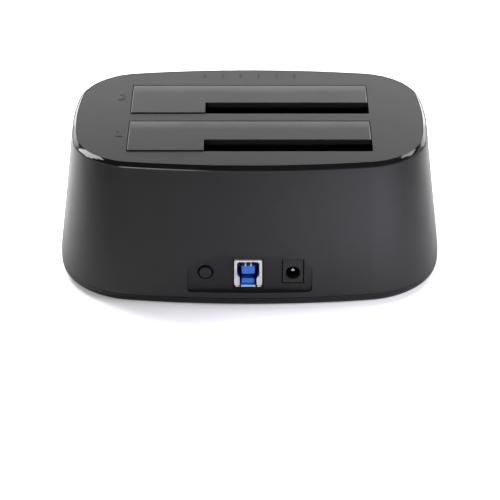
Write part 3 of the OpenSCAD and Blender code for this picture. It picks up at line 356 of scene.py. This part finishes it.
def flapSpring(side):
    hinge = np.array(joints[side + "_flap_hinge"]["pos_m"])
    (_, _, pinLow), (_, _, pinHigh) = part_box("flap_pin_" + side)
    wire = springLook["wireMm"] * mm
    pitch = 2 * wire + springLook["gapMm"] * mm
    radius = (pinHigh - pinLow) / 2 + springLook["offPinMm"] * mm + wire
    turn = np.linspace(0, fullTurn * springLook["turns"], springLook["steps"])
    out = np.stack([0 * turn, np.cos(turn), np.sin(turn)], axis=1)
    shift = pitch * (turn / fullTurn - springLook["turns"] / 2)
    coil = hinge + radius * out + shift[:, None] * np.array([1, 0, 0])
    stretch = np.linspace(0, springLook["legMm"] * mm, springLook["legSteps"] + 1)[1:, None]
    leg, arm = coil[0] - stretch[::-1] * [0, 0, 1], coil[-1] - stretch * [0, 1, 0]
    normal = np.vstack([0 * leg + out[0], out, 0 * arm + out[-1]])
    rings = wireRings(np.vstack([leg, coil, arm]), normal, wire, springLook["sides"])
    spring = skinRings(side + "FlapSpring", rings, "spring_steel")
    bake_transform(spring)
    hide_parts("flap_spring_" + side)


for side in ("rear", "front"):
    flapSpring(side)

# switch spring: C(n) = middle + radius * (cos n, 0, sin n) + advance(n) along Y, n in turns, where the first
# and last turn are closed. The button presses it towards the switch's back wall. wireMm is the wire's radius
coilLook = {"turns": 6.0, "wireMm": 0.12, "closedMm": 0.26, "steps": 144, "sides": 10}


def switchSpring():
    low, high = (np.array(corner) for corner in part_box("switch_spring"))
    wire, closed = coilLook["wireMm"] * mm, coilLook["closedMm"] * mm
    middle, radius, length = (low + high) / 2, (high[0] - low[0]) / 2 - wire, high[1] - low[1]
    count = np.linspace(0, coilLook["turns"], coilLook["steps"])
    advance = np.interp(count, [0, 1, coilLook["turns"] - 1, coilLook["turns"]],
                        [wire, wire + closed, length - wire - closed, length - wire])
    out = np.stack([np.cos(fullTurn * count), 0 * count, np.sin(fullTurn * count)], axis=1)
    coil = middle * [1, 0, 1] + radius * out + (low[1] + advance)[:, None] * np.array([0, 1, 0])
    spring = skinRings("switchSpring", wireRings(coil, out, wire, coilLook["sides"]), "spring_steel")
    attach(spring, "dock")
    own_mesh(spring)
    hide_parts("switch_spring")


switchSpring()
print("springs wound")

# cover screws: rings of a turned profile, where the driven face sinks by depth * crossArm(x, y) or (y, x) and
# crossArm(u, v) fades from 1 to 0 at the arm's length along u and at half its width across v
screwLook = {"headMm": 2.7, "shankMm": 1.1, "seatMm": 1.0, "edgeMm": 0.3, "edgeSteps": 6, "tipMm": 1.2,
             "poleMm": 0.02, "depthMm": 0.75, "armMm": (1.35, 0.3), "fadeMm": 0.12, "sides": 96, "rings": 44}


def crossArm(u, v):
    length, half = screwLook["armMm"]
    along = np.clip((length - np.abs(u)) / screwLook["fadeMm"] + 0.5, 0, 1)
    across = np.clip((half - np.abs(v)) / screwLook["fadeMm"] + 0.5, 0, 1)
    return along * across


def coverScrews():
    low, high = (np.array(corner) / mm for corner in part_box("cover_screws"))
    head, shank, seat, edge, tip, pole = (screwLook[key + "Mm"] for key in
                                          ("head", "shank", "seat", "edge", "tip", "pole"))
    tall = high[2] - low[2]
    arc = np.radians(np.linspace(0, 90, screwLook["edgeSteps"] + 1)[1:])
    face = np.linspace(pole, head - edge, screwLook["rings"])
    across = np.concatenate([face, head - edge + edge * np.sin(arc), [head, shank, shank, pole]])
    along = np.concatenate([0 * face, edge - edge * np.cos(arc), [seat, seat, tall - tip, tall]])
    turn = np.linspace(0, fullTurn, screwLook["sides"], endpoint=False)
    x, y = across[:, None] * np.cos(turn), across[:, None] * np.sin(turn)
    onFace = (np.arange(len(across)) < len(face))[:, None]
    z = low[2] + along[:, None] + screwLook["depthMm"] * onFace * np.maximum(crossArm(x, y), crossArm(y, x))
    corners = {"RearLeft": (-1, -1), "RearRight": (1, -1), "FrontLeft": (-1, 1), "FrontRight": (1, 1)}
    for name, (sx, sy) in corners.items():
        rings = np.stack([x + sx * (high[0] - head), y + sy * (high[1] - head), z], axis=-1) * mm
        screw = skinRings("coverScrew" + name, rings, "screw_steel")
        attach(screw, "dock")
        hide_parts("cover_screws")


coverScrews()
print("cover screws turned")

# pale paper under the object: the lens sees it lifted to white further out, and the gloss sees it a stop
# darker. Close by, where less of the sky is open, a painted contact shadow darkens its colour
floorLook = {"reachM": 6.0, "colour": "#dcdcdc", "inGloss": "#a0a0a0", "rough": 0.9, "lift": (0.26, 1.0),
             "liftM": (0.12, 0.5), "contactM": 0.02, "open": (0.5, 0.97), "contact": 0.55}
reach = floorLook["reachM"]
floorMesh = bpy.data.meshes.new("floor")
floorMesh.from_pydata([(-reach, -reach, 0), (reach, -reach, 0), (reach, reach, 0), (-reach, reach, 0)],
                      [], [(0, 1, 2, 3)])
floor = bpy.data.objects.new("floor", floorMesh)
scene.collection.objects.link(floor)
paperSweep, tree, shader = newFinish("paperSweep", {"Roughness": floorLook["rough"],
                                                    "Specular IOR Level": 0.0,
                                                    "Emission Color": (1, 1, 1, 1)})
ray = addNode(tree, "ShaderNodeLightPath")
paper = addNode(tree, "ShaderNodeMix",
                {"data_type": "RGBA", 6: hexToLinear(floorLook["colour"]),
                 7: hexToLinear(floorLook["inGloss"])}, {0: ray.outputs["Is Glossy Ray"]})
onFloor = addNode(tree, "ShaderNodeTexCoord")
away = addNode(tree, "ShaderNodeVectorMath", {"operation": "LENGTH"}, {0: onFloor.outputs["Object"]})
rise = addNode(tree, "ShaderNodeMapRange",
               {"From Min": floorLook["liftM"][0], "From Max": floorLook["liftM"][1],
                "To Min": floorLook["lift"][0], "To Max": floorLook["lift"][1]},
               {"Value": away.outputs["Value"]})
lift = addNode(tree, "ShaderNodeMath", {"operation": "MULTIPLY"},
               {0: ray.outputs["Is Camera Ray"], 1: rise.outputs[0]})
# painted contact shadow: the paper's colour darkens where ambient occlusion finds the object close
sky = addNode(tree, "ShaderNodeAmbientOcclusion", {"Distance": floorLook["contactM"]})
shade = addNode(tree, "ShaderNodeMapRange",
                {"From Min": floorLook["open"][0], "From Max": floorLook["open"][1],
                 "To Min": floorLook["contact"]}, {"Value": sky.outputs["AO"]})
shaded = addNode(tree, "ShaderNodeVectorMath", {"operation": "SCALE"},
                 {0: paper.outputs[2], "Scale": shade.outputs[0]})
tree.links.new(shaded.outputs[0], shader.inputs["Base Color"])
tree.links.new(lift.outputs[0], shader.inputs["Emission Strength"])
floorMesh.materials.append(paperSweep)

# studio: a white backdrop all round that ends below a dim ceiling, as the lens and the gloss see it. topSine
# holds the sines of the heights at which the backdrop starts to fade and at which it ends
room = {"colour": "#ffffff", "ceiling": 0.07, "topSine": (0.3, 0.42)}
world = bpy.data.worlds.new("studio")
scene.world = world
world.use_nodes = True
studio = world.node_tree
backdrop = studio.nodes["Background"]
backdrop.inputs["Color"].default_value = hexToLinear(room["colour"])
ray = addNode(studio, "ShaderNodeLightPath")
heading = addNode(studio, "ShaderNodeTexCoord")
up = addNode(studio, "ShaderNodeSeparateXYZ", None, {0: heading.outputs["Generated"]})
onBackdrop = addNode(studio, "ShaderNodeMapRange",
                     {"From Min": room["topSine"][0], "From Max": room["topSine"][1],
                      "To Min": 1.0, "To Max": 0.0}, {"Value": up.outputs[2]})
inGloss = addNode(studio, "ShaderNodeMath", {"operation": "MULTIPLY"},
                  {0: ray.outputs["Is Glossy Ray"], 1: onBackdrop.outputs[0]})
direct = addNode(studio, "ShaderNodeMath", {"operation": "MAXIMUM"},
                 {0: ray.outputs["Is Camera Ray"], 1: ray.outputs["Is Transmission Ray"]})
seen = addNode(studio, "ShaderNodeMath", {"operation": "MAXIMUM"},
               {0: direct.outputs[0], 1: inGloss.outputs[0]})
strength = addNode(studio, "ShaderNodeMapRange", {"To Min": room["ceiling"], "To Max": 1.0},
                   {"Value": seen.outputs[0]})
studio.links.new(strength.outputs[0], backdrop.inputs["Strength"])

# each softbox: where it hangs, what it points at if not straight down, its width and height in metres, and
# its brightness, where 1 is white. "floor" ones don't show in the gloss, "gloss" ones only show in the gloss
softboxes = {
    "behind": {"at": (0.0, 0.3, 0.11), "to": (0, 0, 0.06), "size": (0.5, 0.18), "bright": 1.6},
    "behindLeft": {"at": (-0.42, 0.45, 0.16), "to": (-0.42, 0, 0.06), "size": (0.4, 0.28), "bright": 1.5},
    "behindRight": {"at": (0.42, 0.45, 0.16), "to": (0.42, 0, 0.06), "size": (0.4, 0.28), "bright": 2.05},
    "left": {"at": (-1.0, 0.3, 0.76), "to": (0, 0, 0.03), "size": (0.62, 0.85), "bright": 9.0,
             "for": "gloss"},
    "right": {"at": (0.85, 0.7, 1.05), "to": (0, 0, 0.03), "size": (1.3, 0.5), "bright": 5.5,
              "for": "gloss"},
    "beside": {"at": (-0.4, -1.1, 0.38), "to": (0, 0, 0.03), "size": (0.5, 0.35), "bright": 5.0},
    "floorLeft": {"at": (-0.16, 0.07, 0.15), "size": (0.1, 0.1), "bright": 48.0, "for": "floor"},
    "floorRight": {"at": (0.15, 0.09, 0.15), "size": (0.1, 0.1), "bright": 30.0, "for": "floor"},
    "floorFront": {"at": (0.15, -0.205, 0.13), "size": (0.1, 0.1), "bright": 58.0, "for": "floor",
                   "colour": "#f6f2ff"},
    "fill": {"at": (-0.15, -0.3, 0.5), "size": (0.4, 0.4), "bright": 1.9, "for": "floor"},
}
for name, box in softboxes.items():
    lamp = bpy.data.lights.new(name + "Softbox", "AREA")
    lamp.shape = "RECTANGLE"
    lamp.size, lamp.size_y = box["size"]
    lamp.energy = box["bright"] * math.pi * box["size"][0] * box["size"][1]
    lamp.color = hexToLinear(box.get("colour", "#ffffff"))[:3]
    stand = bpy.data.objects.new(name + "Softbox", lamp)
    stand.location = box["at"]
    dx, dy, dz = np.array(box.get("to", (*box["at"][:2], 0))) - np.array(box["at"])
    tilt = math.pi / 2 - math.atan2(-dz, math.hypot(dx, dy))
    stand.rotation_euler = (tilt, 0, math.atan2(dy, dx) - math.pi / 2)
    stand.visible_glossy = box.get("for") != "floor"
    stand.visible_diffuse = box.get("for") != "gloss"
    scene.collection.objects.link(stand)
scene.view_settings.view_transform = "Standard"
print("studio lit")
